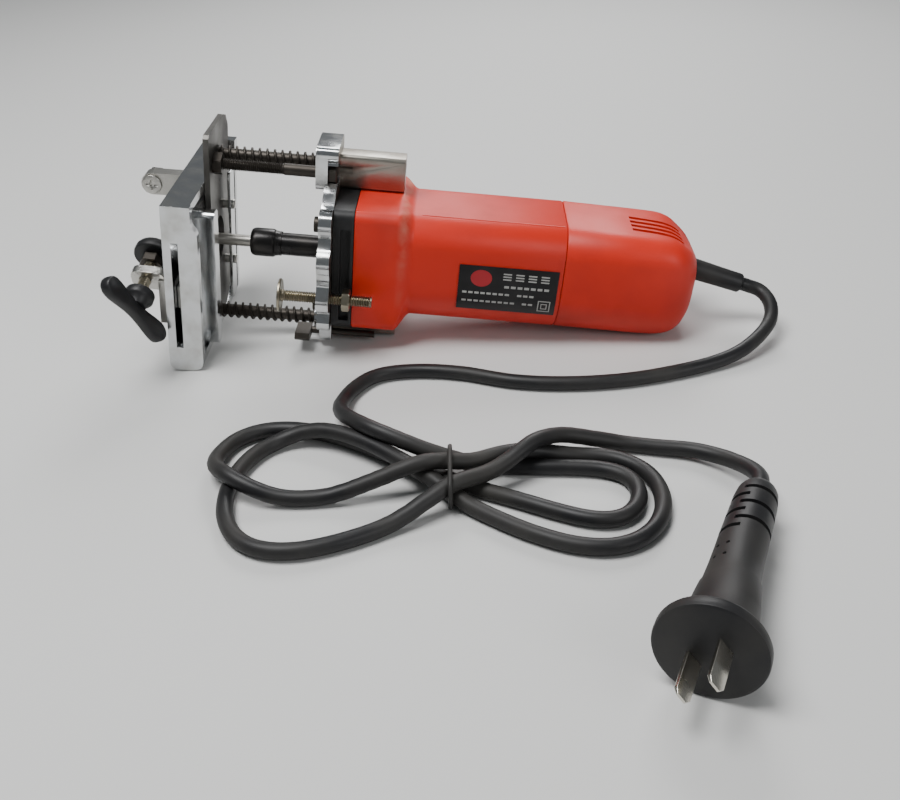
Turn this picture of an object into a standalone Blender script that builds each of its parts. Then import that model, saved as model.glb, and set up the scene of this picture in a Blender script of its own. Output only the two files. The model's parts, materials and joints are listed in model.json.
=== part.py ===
# Hand-held plunge slot router for plastic and aluminium profiles, lying on its side with its cord and plug.
# Tool coordinates, in millimetres: a runs along the spindle from the bit to the cord, b sideways, c upwards.
# The frame tool_pose carries them into the row's frame (metres, +Z up). a = b = c = 0 is the spindle nose.
import bpy
import bmesh
import math
from mathutils import Matrix, Vector

for old in list(bpy.data.objects):
    bpy.data.objects.remove(old, do_unlink=True)

MM = 0.001
TILT = math.radians(5.92)     # the rear of the tool lies lower than its spindle
YAW = math.radians(-1.5)
NOSE = (-68.9, 10.9, 46.53)   # spindle nose in the row frame, mm

# motor
BARREL = 29.5                 # half width of the motor barrel
FRONT = 31.0                  # half width of its square front section
WALL = 3.0
A_FLANGE, A_FRONT, A_STEP, A_BARREL, A_SEAM, A_REAR = 13.9, 24.3, 46.5, 53.0, 130.0, 200.5
C_TOP, C_BOTTOM = 33.0, -31.5
# plunge head
HEAD_LO, HEAD_HI = 7.3, 13.6
SLEEVE_END = 46.5
POST_R, POST_GAP = 3.0, 0.25
POST_UP, POST_LOW = (6.0, 44.3), (-10.0, -36.2)
BOLT = (-6.0, 43.3)
BOLT_SEAT = 8.6               # face of the upper boss that the depth bolt's head rests on
STOP = (-38.0, -10.7)
LOCK = (-20.5, -38.6)
THREAD_R = 2.95
HEX_R = 5.0 / math.cos(math.pi / 6)     # 10 mm across flats
# spindle
NOSE_R, NUT_R, BIT_R = 5.9, 7.4, 2.98
# base
A_WORK, A_BOX, A_PLATE_LO, A_PLATE_HI = -65.5, -51.5, -51.8, -49.0
BASE_NEAR, BASE_FAR, BASE_LOW, BASE_TOP = -50.0, 46.0, -51.95, 36.5
OPENING_R = 13.0
# profile clamp on the base
CLAMP_TILT = math.radians(22.0)
CLAMP_SWING = math.radians(3.0)
CLAMP_AT = (-76.0, -26.0, 0.6)
WING_TURN = math.radians(-63.0)
# cord
CORD_R = 3.6
CORD_Z = 3.65                 # height of the cord's centre line where it lies on the ground

COLOURS = {
    "red": ((0.62, 0.035, 0.015), 0.0, 0.45), "black": ((0.018, 0.018, 0.02), 0.0, 0.5),
    "rubber": ((0.02, 0.02, 0.022), 0.0, 0.7), "chrome": ((0.72, 0.73, 0.74), 1.0, 0.16),
    "steel": ((0.42, 0.42, 0.40), 1.0, 0.45), "dark": ((0.06, 0.055, 0.05), 0.8, 0.45),
    "brass": ((0.6, 0.45, 0.2), 1.0, 0.35), "copper": ((0.6, 0.28, 0.15), 1.0, 0.4),
    "label": ((0.02, 0.02, 0.02), 0.0, 0.3), "cast": ((0.66, 0.66, 0.64), 1.0, 0.5),
    "carbon": ((0.04, 0.04, 0.04), 0.2, 0.6), "nickel": ((0.62, 0.6, 0.55), 1.0, 0.3),
}

tool_pose = bpy.data.objects.new("tool_pose", None)
tool_pose.location = Vector(NOSE) * MM
tool_pose.rotation_euler = (0.0, TILT, YAW)
bpy.context.collection.objects.link(tool_pose)


def add_object(name, mesh, colour, parent=tool_pose):
    ob = bpy.data.objects.new(name, mesh)
    bpy.context.collection.objects.link(ob)
    ob.parent = parent
    if colour:
        rgb, metal, rough = COLOURS[colour]
        mat = bpy.data.materials.new("mat_" + name)
        mat.use_nodes = True
        shader = mat.node_tree.nodes["Principled BSDF"]
        shader.inputs["Base Color"].default_value = rgb + (1.0,)
        shader.inputs["Metallic"].default_value = metal
        shader.inputs["Roughness"].default_value = rough
        mat.diffuse_color = rgb + (1.0,)
        mesh.materials.append(mat)
    else:
        ob.hide_render = True
        ob.display_type = 'WIRE'
    return ob


def solid(name, verts, faces, colour, parent=tool_pose, origin=(0, 0, 0)):
    mesh = bpy.data.meshes.new(name)
    shift = Vector(origin)
    mesh.from_pydata([(Vector(v) - shift) * MM for v in verts], [], faces)
    bm = bmesh.new()
    bm.from_mesh(mesh)
    bmesh.ops.recalc_face_normals(bm, faces=bm.faces)
    bm.to_mesh(mesh)
    bm.free()
    ob = add_object(name, mesh, colour, parent)
    ob.location = shift * MM
    return ob


def place(axis, s, u, v):
    """A point s along the axis and (u, v) across it."""
    if axis == 'a':
        return (s, u, v)
    if axis == 'b':
        return (u, s, v)
    return (u, v, s)


def rings(name, loops, colour, closed=False, parent=tool_pose, origin=(0, 0, 0)):
    """Skin a row of point loops; capped at both ends, or joined back to the first loop when closed."""
    n = len(loops[0])
    verts = [p for loop in loops for p in loop]
    faces = []
    last = len(loops) if closed else len(loops) - 1
    for i in range(last):
        j = (i + 1) % len(loops)
        for k in range(n):
            m = (k + 1) % n
            faces.append((i * n + k, i * n + m, j * n + m, j * n + k))
    if not closed:
        faces.append(tuple(range(n)))
        faces.append(tuple((len(loops) - 1) * n + k for k in range(n)))
    return solid(name, verts, faces, colour, parent, origin)


def prism(name, outline, axis, lo, hi, colour):
    loops = [[place(axis, s, u, v) for u, v in outline] for s in (lo, hi)]
    return rings(name, loops, colour)


def circle(cx, cy, r, n=32):
    turns = [2 * math.pi * k / n for k in range(n)]
    return [(cx + r * math.cos(t), cy + r * math.sin(t)) for t in turns]


def hexagon(cx, cy, r=HEX_R, turn=0.0):
    turns = [math.pi * k / 3 + turn for k in range(6)]
    return [(cx + r * math.cos(t), cy + r * math.sin(t)) for t in turns]


def rounded(u0, u1, v0, v1, r, k=6):
    """Rounded rectangle, the same number of points whatever its radius."""
    pts = []
    for cu, cv, start in ((u1 - r, v1 - r, 0), (u0 + r, v1 - r, 90), (u0 + r, v0 + r, 180),
                          (u1 - r, v0 + r, 270)):
        for i in range(k + 1):
            t = math.radians(start + 90.0 * i / k)
            pts.append((cu + r * math.cos(t), cv + r * math.sin(t)))
    return pts


def box(name, a, b, c, colour):
    return prism(name, [(b[0], c[0]), (b[1], c[0]), (b[1], c[1]), (b[0], c[1])], 'a', a[0], a[1], colour)


def rod(name, axis, centre, r, lo, hi, colour, n=24):
    return prism(name, circle(centre[0], centre[1], r, n), axis, lo, hi, colour)


def turned(name, profile, centre, colour, n=32, closed=False):
    """Turned about an axis along a. The profile is (a, radius) pairs; closed makes a ring."""
    loops = [[(s,) + p for p in circle(centre[0], centre[1], r, n)] for s, r in profile]
    return rings(name, loops, colour, closed)


def combine(ob, other, operation):
    mod = ob.modifiers.new(other.name, 'BOOLEAN')
    mod.operation = operation
    mod.solver = 'EXACT'
    mod.object = other
    other.hide_render = True
    other.display_type = 'WIRE'


def cut(ob, *others):
    for other in others:
        combine(ob, other, 'DIFFERENCE')


def join(ob, *others):
    for other in others:
        combine(ob, other, 'UNION')


def section(a, half, c_low, c_high, r, r_top=None, k=8):
    """Housing section across the spindle, with its own corner radius along the top."""
    top = r_top or r
    points = []
    for u, v, radius, start in ((half, c_high, top, 0), (-half, c_high, top, 90), (-half, c_low, r, 180),
                                (half, c_low, r, 270)):
        mid_u, mid_v = u - math.copysign(radius, u), v - math.copysign(radius, v)
        for i in range(k + 1):
            t = math.radians(start + 90.0 * i / k)
            points.append((a, mid_u + radius * math.cos(t), mid_v + radius * math.sin(t)))
    return points


# ---------------------------------------- motor housing
outer = [section(A_FRONT, FRONT, C_BOTTOM, C_TOP, 5.0), section(A_STEP, FRONT, C_BOTTOM, C_TOP, 5.0),
         section(A_BARREL, BARREL, -29.0, 30.0, 24.0, 14.0), section(A_SEAM, BARREL, -29.0, 30.0, 24.0, 14.0)]
inner = [section(A_SEAM, 26.4, -25.9, 26.9, 21.5, 11.5), section(A_BARREL - 1, 26.4, -25.9, 26.9, 21.5, 11.5),
         section(A_STEP - 3, FRONT - WALL, C_BOTTOM + WALL, C_TOP - WALL, 4.0),
         section(A_FRONT, FRONT - WALL, C_BOTTOM + WALL, C_TOP - WALL, 4.0)]
rings("motor_housing", outer + inner, "red", closed=True)

stations = [(A_SEAM + 0.3, 29.5, -29.0, 30.0, 24.0, 14.0), (165.0, 29.2, -28.8, 29.0, 22.0, 13.0),
            (180.0, 28.8, -28.1, 28.2, 20.0, 12.0), (187.0, 28.0, -27.3, 26.6, 19.0, 12.0),
            (192.0, 26.2, -25.8, 23.6, 18.0, 12.0), (196.0, 23.2, -22.8, 20.6, 16.5, 12.0),
            (198.8, 19.0, -18.4, 17.4, 14.0, 11.0), (A_REAR, 13.5, -12.6, 14.2, 11.0, 9.0)]
cover_out = [section(*s) for s in stations]
cover_in = [section(A_REAR - WALL, 8.0, -7.0, 8.6, 7.0), section(193.5, 16.4, -15.6, 16.6, 13.0),
            section(186.5, 22.6, -22.6, 21.6, 16.0, 10.0), section(176.0, 25.0, -25.3, 25.0, 18.0, 11.0),
            section(A_SEAM + 0.3, 26.4, -25.9, 26.9, 21.5, 11.5)]
n_sec = len(cover_out[0])
cover_rings = cover_out + cover_in
verts = [p for loop in cover_rings for p in loop]
faces = []
for i in range(len(cover_rings)):
    if i == len(cover_out) - 1:
        continue
    j = (i + 1) % len(cover_rings)
    for k in range(n_sec):
        m = (k + 1) % n_sec
        faces.append((i * n_sec + k, i * n_sec + m, j * n_sec + m, j * n_sec + k))
for i in (len(cover_out) - 1, len(cover_out)):
    faces.append(tuple(i * n_sec + k for k in range(n_sec)))
rear_cover = solid("rear_cover", verts, faces, "red")
for k in range(4):
    b_slot = -13.5 + 7.0 * k
    slot = box("cut_vent_%d" % (k + 1), (166.0, 186.0), (b_slot - 1.4, b_slot + 1.4), (18.0, 34.0), None)
    cut(rear_cover, slot)
cut(rear_cover, rod("cut_guard", 'a', (0.0, 6.6), 6.9, 190.0, 204.0, None),
    box("cut_switch", (142.0, 164.0), (24.0, 33.0), (-6.0, 6.0), None))

flange_outline = rounded(-FRONT, FRONT, C_BOTTOM, C_TOP, 5.0)
flange = prism("front_flange", flange_outline, 'a', A_FLANGE, A_FRONT - 0.3, "black")
cut(flange, rod("cut_flange_bore", 'a', (0, 0), 11.05, 10.0, 30.0, None, 40),
    box("cut_window", (17.6, 22.6), (-33.0, -28.0), (-26.0, 24.0), None))


def label_strip(offset):
    cb, cc, r = -BARREL + 24.0, -29.0 + 24.0, 24.0 + offset
    pts = [(-BARREL - offset, 10.5)]
    for k in range(7):
        t = math.radians(180.0 + 23.0 * k / 6)
        pts.append((cb + r * math.cos(t), cc + r * math.sin(t)))
    return pts


prism("rating_label", label_strip(0.05) + label_strip(0.55)[::-1], 'a', 77.6, 128.0, "label")

# ---------------------------------------- plunge head casting


def lobed(circles, n=120):
    """Outline of overlapping discs, all seen from the spindle axis."""
    pts = []
    for k in range(n):
        t = 2 * math.pi * k / n
        ub, uc = math.cos(t), math.sin(t)
        reach = 0.0
        for cb, cc, r in circles:
            along = ub * cb + uc * cc
            h2 = r * r - (cb * cb + cc * cc - along * along)
            if h2 > 0 and along + math.sqrt(h2) > 0:
                reach = max(reach, along + math.sqrt(h2))
        pts.append((reach * ub, reach * uc))
    return pts


head = prism("head_casting", lobed([
    (0, 0, 41.5), (2, 45.2, 12.4), STOP + (7.4,), (-37.6, 9.0, 6.8), (-31.5, 26.5, 7.0), (-33.0, -25.5, 5.4),
    (-20.5, -37.6, 5.6), (38, 10, 7), (38, -10, 7), (31, 27, 7), (31, -26, 6), (16, -37.0, 5.6)]),
    'a', HEAD_LO, HEAD_HI, "chrome")
join(head,
     prism("join_boss_up", rounded(-12.5, 15.5, 35.0, 57.6, 5.0), 'a', 2.6, BOLT_SEAT, None),
     prism("join_boss_top", rounded(-12.5, 15.5, 49.6, 57.6, 3.5), 'a', 2.8, 13.8, None),
     rod("join_boss_low", 'a', POST_LOW, 6.9, 3.5, 13.0, None, 32),
     prism("join_sleeve_up", rounded(0.0, 12.5, 33.3, 51.0, 2.0, 4), 'a', 12.0, SLEEVE_END, None),
     prism("join_sleeve_low", rounded(-16.5, -4.0, -40.4, -32.0, 1.5, 4), 'a', 12.0, SLEEVE_END, None))
cut(head, rod("cut_head_bore", 'a', (0, 0), 12.0, 0.0, 20.0, None, 40),
    rod("cut_post_up", 'a', POST_UP, POST_R + POST_GAP, 0.0, 50.0, None),
    rod("cut_post_low", 'a', POST_LOW, POST_R + POST_GAP, 0.0, 50.0, None),
    rod("cut_bolt", 'a', BOLT, 3.3, 0.0, 20.0, None),
    rod("cut_bolt_seat", 'a', BOLT, HEX_R + 0.6, BOLT_SEAT, 20.0, None),
    rod("cut_stop", 'a', STOP, 3.2, 0.0, 20.0, None),
    rod("cut_lock", 'a', LOCK, 2.1, 0.0, 20.0, None, 20))
for k, (sb, sc) in enumerate(((-22, 22), (22, 22), (22, -22), (-22, -22))):
    rod("head_screw_%d" % (k + 1), 'a', (sb, sc), 3.9, 3.6, HEAD_LO - 0.05, "dark", 20)

# ---------------------------------------- spindle and what turns with it
shaft_profile = [(-18.6, 5.5), (-15.6, 5.5), (-15.5, NOSE_R), (13.2, NOSE_R), (13.3, 5.0), (120.0, 5.0)]
shaft_profile += [(120.1, 4.0), (175.0, 4.0)]
turned("spindle_shaft", shaft_profile, (0, 0), "black", 28)
turned("collet_nut", [(-32.0, 3.5), (-32.0, 6.2), (-30.6, NUT_R), (-19.5, NUT_R), (-16.6, 6.5), (-16.0, 6.5),
                      (-16.0, 5.9), (-29.2, 5.9), (-29.4, 3.5)], (0, 0), "black", 28, True)
collet_profile = [(-31.4, 3.05), (-31.4, 3.3), (-29.1, 3.3), (-28.7, 5.4), (-19.2, 5.4), (-19.2, 3.05)]
turned("collet", collet_profile, (0, 0), "steel", 24, True)
turned("router_bit", [(-60.0, 1.2), (-59.4, BIT_R), (-19.8, BIT_R)], (0, 0), "steel", 20)


def star(r_out, r_in, teeth, share=0.5):
    pts = []
    for k in range(teeth):
        for f, r in ((0.0, r_in), (0.08, r_out), (share, r_out), (share + 0.08, r_in)):
            t = 2 * math.pi * (k + f) / teeth
            pts.append((r * math.cos(t), r * math.sin(t)))
    return pts


def bored(name, outline, bore, lo, hi, colour):
    ob = prism(name, outline, 'a', lo, hi, colour)
    cut(ob, rod("cut_" + name, 'a', (0, 0), bore, lo - 5, hi + 5, None, 28))
    return ob


bored("armature_core", star(17.0, 13.6, 12, 0.72), 5.05, 72.0, 110.0, "steel")
bored("cooling_fan", star(24.0, 12.0, 11, 0.3), 5.05, 56.0, 64.0, "black")
turned("commutator", [(134.0, 4.05), (134.0, 11.0), (150.0, 11.0), (150.0, 4.05)], (0, 0), "copper", 28, True)
turned("stator_core", [(72.0, 17.6), (72.0, 25.6), (110.0, 25.6), (110.0, 17.6)], (0, 0.4), "steel", 36, True)
turned("front_bearing", [(14.6, 5.05), (14.6, 11.0), (22.6, 11.0), (22.6, 5.05)], (0, 0), "steel", 36, True)
turned("rear_bearing", [(166.0, 4.05), (166.0, 9.5), (173.0, 9.5), (173.0, 4.05)], (0, 0), "steel", 32, True)
bridge_profile = [(167.0, 9.6), (167.0, 23.6), (172.0, 23.6), (172.0, 9.6)]
turned("bearing_bridge", bridge_profile, (0, 0), "black", 36, True)
for side, name in ((1, "upper"), (-1, "lower")):
    lo, hi = sorted((12.6 * side, 24.4 * side))
    holder = box("brush_holder_" + name, (137.0, 147.0), (-5.0, 5.0), (lo, hi), "brass")
    cut(holder, box("cut_holder_" + name, (138.5, 145.5), (-3.6, 3.6), (lo - 2, hi + 2), None))
    lo, hi = sorted((11.1 * side, 22.5 * side))
    box("carbon_brush_" + name, (138.8, 145.2), (-3.3, 3.3), (lo, hi), "carbon")

# ---------------------------------------- power switch on the far side
plate = box("switch_plate", (142.3, 163.7), (25.5, 29.3), (-5.7, 5.7), "black")
cut(plate, box("cut_switch_slot", (146.0, 160.0), (27.0, 30.5), (-3.6, 3.6), None))
box("switch_slider", (146.6, 152.6), (27.3, 31.6), (-3.2, 3.2), "black")

# ---------------------------------------- cord guard at the rear
guard_dir = Vector((29.0, 0.0, -6.8)).normalized()


def along_loops(start, direction, profile, n=20):
    """Circles of (distance, radius) about a straight line."""
    d = Vector(direction).normalized()
    side = d.cross(Vector((0, 1, 0))).normalized()
    other = d.cross(side)
    loops = []
    for s, r in profile:
        mid = Vector(start) + d * s
        loops.append([tuple(mid + side * u + other * v) for u, v in circle(0, 0, r, n)])
    return loops


GUARD_START = (194.0, 0.0, 7.5)
guard_profile = [(0.0, 5.5), (10.0, 5.5), (22.0, 5.2), (31.0, 4.9), (31.6, 5.6), (34.6, 5.6), (35.4, 4.8)]
rings("cord_guard", along_loops(GUARD_START, guard_dir, guard_profile), "rubber")

# ---------------------------------------- plunge stop screw and lock rod
stop_profile = [(-12.0, 7.4), (-11.7, 8.4), (-10.6, 8.4), (-10.5, 3.0), (34.2, 3.0), (34.9, 2.3)]
turned("stop_screw", stop_profile, STOP, "steel", 24)
stop_nut = prism("stop_lock_nut", hexagon(*STOP), 'a', 20.0, 23.8, "steel")
cut(stop_nut, rod("cut_stop_nut", 'a', STOP, 3.06, 15.0, 30.0, None))

lock = rod("lock_lever", 'a', LOCK, 1.8, -4.2, 36.0, "dark", 16)
tab = [(LOCK[0] + 3.2, LOCK[1] + 2.4), (LOCK[0] - 10.0, LOCK[1] + 2.8), (LOCK[0] - 12.0, LOCK[1] + 0.6),
       (LOCK[0] - 10.0, LOCK[1] - 1.4), (LOCK[0] + 1.0, LOCK[1] - 3.2), (LOCK[0] + 3.2, LOCK[1] - 2.0)]
join(lock, prism("join_lock_tab", tab, 'a', -4.8, 2.8, None))

# ---------------------------------------- base: steel plate, chromed casting, posts
plate_outline = [(-16, 58.5), (-16, -38), (-11, -44.4), (13, -44.4), (24, -36), (30, -20), (30, 52), (26, 58),
                 (20, 60), (-14, 60)]
steel = prism("base_plate", plate_outline, 'a', A_PLATE_LO, A_PLATE_HI, "steel")
cut(steel, rod("cut_plate_opening", 'a', (0, 0), OPENING_R - 1, -60.0, -40.0, None, 40),
    rod("cut_plate_up", 'a', POST_UP, POST_R + 0.05, -60.0, -40.0, None),
    rod("cut_plate_low", 'a', POST_LOW, POST_R + 0.05, -60.0, -40.0, None),
    rod("cut_plate_bolt", 'a', BOLT, 3.05, -60.0, -40.0, None))


def corner(a, c, r, start, n=4):
    """Quarter round about (a, c), from the angle start onwards."""
    turns = [math.radians(start + 90.0 * k / n) for k in range(n + 1)]
    return [(a + r * math.cos(t), c + r * math.sin(t)) for t in turns]


near_wall = corner(A_WORK + 3.5, BASE_LOW + 3.5, 3.5, 180) + corner(-53.5, BASE_LOW + 5, 5.0, 270)
near_wall += [(-48.5, 22.0), (-49.3, 24.6), (-50.9, 26.4), (A_BOX, 28.6), (A_BOX, BASE_TOP)]
near_wall += [(A_WORK, BASE_TOP)]
casting = prism("base_casting", near_wall, 'b', BASE_NEAR, BASE_NEAR + 4.5, "chrome")
low_c, top_c = (BASE_LOW, BASE_LOW + 4.5), (BASE_TOP - 4.0, BASE_TOP)
join(casting,
     prism("join_far_wall", near_wall, 'b', BASE_FAR - 4.5, BASE_FAR, None),
     box("join_work_wall", (A_WORK, -62.0), (BASE_NEAR + 1, BASE_FAR - 1), (BASE_LOW + 3.2, BASE_TOP - 0.5),
         None),
     box("join_top_wall", (A_WORK, -52.0), (BASE_NEAR + 1, BASE_FAR - 1), top_c, None),
     box("join_low_wall", (A_WORK + 3.2, -50.0), (BASE_NEAR + 1, BASE_FAR - 1), low_c, None),
     box("join_web", (-55.6, -52.1), (BASE_NEAR + 1, BASE_FAR - 1), (BASE_LOW + 1, BASE_TOP - 1), None),
     prism("join_rail", rounded(-31.0, -22.0, -46.5, 26.5, 3.0, 4), 'a', -54.0, -44.5, None),
     box("join_lug", (-54.0, -46.0), (31.5, 38.0), (27.0, 42.5), None))
cut(casting, rod("cut_opening", 'a', (0, 0), OPENING_R, -70.0, -40.0, None, 40),
    box("cut_near_slot", (-61.5, -58.0), (BASE_NEAR - 2, BASE_NEAR + 6), (-39.0, 18.0), None),
    box("cut_work_slot", (A_WORK - 2, -61.0), (-36.4, -33.0), (-39.0, 18.0), None),
    rod("cut_web_up", 'a', POST_UP, 4.0, -57.0, -50.0, None),
    rod("cut_web_low", 'a', POST_LOW, 4.0, -57.0, -50.0, None),
    rod("cut_web_bolt", 'a', BOLT, 4.0, -57.0, -50.0, None))

rod("guide_post_upper", 'a', POST_UP, POST_R, -52.0, 17.0, "dark", 28)
rod("guide_post_lower", 'a', POST_LOW, POST_R, -52.0, 17.0, "dark", 28)
rod("depth_bolt", 'a', BOLT, THREAD_R, -51.6, BOLT_SEAT + 0.1, "dark", 24)
prism("depth_bolt_head", hexagon(*BOLT, HEX_R, math.pi / 6), 'a', BOLT_SEAT + 0.2, BOLT_SEAT + 4.2, "dark")
bolt_nut = prism("depth_bolt_nut", hexagon(*BOLT, HEX_R, math.pi / 6), 'a', -48.9, -44.4, "dark")
cut(bolt_nut, rod("cut_bolt_nut", 'a', BOLT, 3.0, -52.0, -40.0, None))

prism("guard_strip", rounded(9.0, 19.0, -39.0, 33.0, 1.5, 3), 'a', -45.9, -44.3, "chrome")
for k, c_screw in enumerate((14.5, -17.0)):
    rod("strip_spacer_%d" % (k + 1), 'a', (13.0, c_screw), 2.4, -48.9, -46.0, "steel", 16)
    screw_profile = [(-44.2, 2.6), (-43.2, 2.6), (-42.6, 1.8)]
    turned("strip_screw_%d" % (k + 1), screw_profile, (13.0, c_screw), "steel", 16)


def spring(name, centre, lo, hi, turns, mean_r=4.0, wire_r=0.6, per_turn=10, sides=5, colour="dark"):
    loops = []
    count = int(turns * per_turn)
    for i in range(count + 1):
        t = 2 * math.pi * i / per_turn
        s = lo + wire_r + (hi - lo - 2 * wire_r) * i / count
        out = Vector((0, math.cos(t), math.sin(t)))
        mid = Vector((s, centre[0], centre[1])) + out * mean_r
        loops.append([tuple(mid + out * u + Vector((v, 0, 0))) for u, v in circle(0, 0, wire_r, sides)])
    return rings(name, loops, colour)


spring("return_spring_upper", POST_UP, -48.9, 2.5, 12.5)
spring("return_spring_lower", POST_LOW, -48.9, 3.4, 12.5)

# ---------------------------------------- guide arm on the work face
arm = [(-65.7, 24.2), (-65.7, 35.2), (-80.5, 35.1)]
arm_turns = [math.radians(90 + 15 * k) for k in range(1, 13)]
arm += [(-80.5 + 5.6 * math.cos(t), 29.5 + 5.6 * math.sin(t)) for t in arm_turns]
arm_ob = prism("guide_arm", arm, 'b', -6.0, 2.0, "chrome")
cut(arm_ob, rod("cut_arm", 'b', (-80.5, 29.5), 2.6, -10.0, 10.0, None, 20))
screw = rod("arm_screw", 'b', (-80.5, 29.5), 2.5, -6.2, 6.6, "steel", 20)
join(screw, rod("join_arm_screw_head", 'b', (-80.5, 29.5), 4.9, -7.4, -6.1, None, 24))
arm_nut = prism("arm_nut", hexagon(-80.5, 29.5, 5.2), 'b', 2.1, 5.6, "dark")
cut(arm_nut, rod("cut_arm_nut", 'b', (-80.5, 29.5), 2.56, 0.0, 8.0, None, 20))

# ---------------------------------------- profile clamp: bracket, screw with wing, pad
clamp_x = Vector((math.cos(CLAMP_SWING), -math.sin(CLAMP_SWING), 0.0))
clamp_flat = Vector((-math.sin(CLAMP_SWING), -math.cos(CLAMP_SWING), 0.0))
clamp_n = clamp_flat * math.cos(CLAMP_TILT) + Vector((0.0, 0.0, -math.sin(CLAMP_TILT)))
clamp_m = clamp_n.cross(clamp_x)
clamp_o = Vector(CLAMP_AT)


def clamp_point(s, x, y):
    return tuple(clamp_o + clamp_n * s + clamp_x * x + clamp_m * y)


def clamp_prism(name, outline, lo, hi, colour):
    loops = [[clamp_point(s, x, y) for x, y in outline] for s in (lo, hi)]
    return rings(name, loops, colour, origin=CLAMP_AT)


def clamp_turned(name, profile, colour, n=28):
    """Turned about the clamp screw. The profile is (distance, radius) pairs."""
    return rings(name, [[clamp_point(s, x, y) for x, y in circle(0, 0, r, n)] for s, r in profile], colour,
                 origin=CLAMP_AT)


bracket = clamp_prism("clamp_bracket", rounded(-6.8, 10.0, -6.0, 6.0, 4.0, 4), 14.0, 18.4, "cast")
join(bracket,
     box("join_bracket_foot", (-69.4, -65.8), (-47.0, -32.4), (-27.0, -4.0), None),
     box("join_bracket_tongue", (-67.0, -61.9), (-36.2, -33.2), (-22.0, -8.0), None))
cut(bracket, clamp_prism("cut_bracket", circle(0, 0, 3.1, 24), 8.0, 26.0, None))
box("clamp_plate", (-61.8, -59.8), (-41.5, -27.5), (-21.0, -9.0), "steel")
clamp_turned("clamp_pad", [(-3.4, 5.0), (-2.6, 9.0), (-1.0, 9.9), (1.6, 10.1), (3.0, 9.8)], "rubber", 32)
clamp_turned("clamp_stud", [(3.2, THREAD_R), (26.4, THREAD_R)], "steel", 24)
clamp_nut = clamp_prism("clamp_nut", hexagon(0, 0, HEX_R), 4.0, 8.4, "dark")
cut(clamp_nut, clamp_prism("cut_clamp_nut", circle(0, 0, 3.0, 24), 2.0, 12.0, None))
wing = clamp_turned("wing_knob", [(26.6, 6.6), (27.0, 7.2), (31.2, 7.2), (31.6, 4.6), (34.6, 4.6)], "black")
blade_corners = ((1, 0.7), (0.93, 1), (-0.93, 1), (-1, 0.7), (-1, -0.7), (-0.93, -1), (0.93, -1), (1, -0.7))
blade = []
for along, across in blade_corners:
    x, y = 21.9 * along, 2.2 * across
    turned_blade = Matrix.Rotation(WING_TURN, 2) @ Vector((x, y))
    blade.append(tuple(turned_blade))
join(wing, clamp_prism("join_wing_blade", blade, 33.3, 42.0, None))

# ---------------------------------------- cord, its hank, tie and plug (row frame, mm)


def smooth(points, step):
    """Catmull-Rom through the points, resampled at an even step."""
    fine = []
    for i in range(len(points) - 1):
        p0, p1 = points[max(i - 1, 0)], points[i]
        p2, p3 = points[i + 1], points[min(i + 2, len(points) - 1)]
        for k in range(24):
            t = k / 24
            fine.append(0.5 * ((2 * p1) + (p2 - p0) * t + (2 * p0 - 5 * p1 + 4 * p2 - p3) * t * t
                               + (3 * p1 - p0 - 3 * p2 + p3) * t * t * t))
    fine.append(points[-1])
    out, gone = [fine[0]], 0.0
    for p, q in zip(fine, fine[1:]):
        gone += (q - p).length
        if gone >= step:
            out.append(q)
            gone = 0.0
    if (out[-1] - fine[-1]).length > step * 0.4:
        out.append(fine[-1])
    else:
        out[-1] = fine[-1]
    return out


def tube(name, points, radius, colour):
    curve = bpy.data.curves.new(name, 'CURVE')
    curve.dimensions = '3D'
    curve.bevel_depth = radius * MM
    curve.bevel_resolution = 2
    curve.use_fill_caps = True
    line = curve.splines.new('POLY')
    line.points.add(len(points) - 1)
    for point, p in zip(line.points, points):
        point.co = (p[0] * MM, p[1] * MM, p[2] * MM, 1.0)
    return add_object(name, curve, colour, None)


to_row = Matrix.Translation(Vector(NOSE)) @ Matrix.Rotation(YAW, 4, 'Z') @ Matrix.Rotation(TILT, 4, 'Y')
exit_point = to_row @ (Vector(GUARD_START) + guard_dir * 35.7)
exit_dir = (to_row.to_3x3() @ guard_dir).normalized()
lead = [exit_point, exit_point + exit_dir * 4.0] + [Vector(p) for p in (
    (169, 2, 19), (172, -7, 16), (170, -17, 12), (163, -27, 9), (152, -37, 6), (138, -45, 4),
    (115, -54, CORD_Z), (88, -61, CORD_Z), (60, -63, CORD_Z), (34, -60, CORD_Z), (8, -51, CORD_Z),
    (-15, -48, CORD_Z), (-34, -52, CORD_Z), (-45, -65, CORD_Z), (-49, -80, CORD_Z), (-48, -94, CORD_Z))]
tube("cord_lead", lead[:1] + smooth(lead[1:], 9.0), CORD_R, "rubber")

# The hank lies as two bunches of loops, left and right of its tie.
HANK_LEFT = (-58.0, -140.0, 48.0, 45.5)    # middle x, y and half sizes of the left round end
HANK_RIGHT = (52.0, -156.0, 43.0, 31.0)
HANK_HIGH = 10.5


def half_oval(x, y, half_x, half_y, start, n=18):
    """Half an ellipse, anticlockwise from the angle start."""
    turns = [start + math.pi * k / n for k in range(n + 1)]
    return [(x + half_x * math.cos(t), y + half_y * math.sin(t)) for t in turns]


hank_line = half_oval(*HANK_LEFT, math.pi / 2) + half_oval(*HANK_RIGHT, -math.pi / 2)
rings("cord_hank", [[(x, y, z) for x, y in hank_line] for z in (0.0, HANK_HIGH)], "rubber", parent=None)

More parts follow.
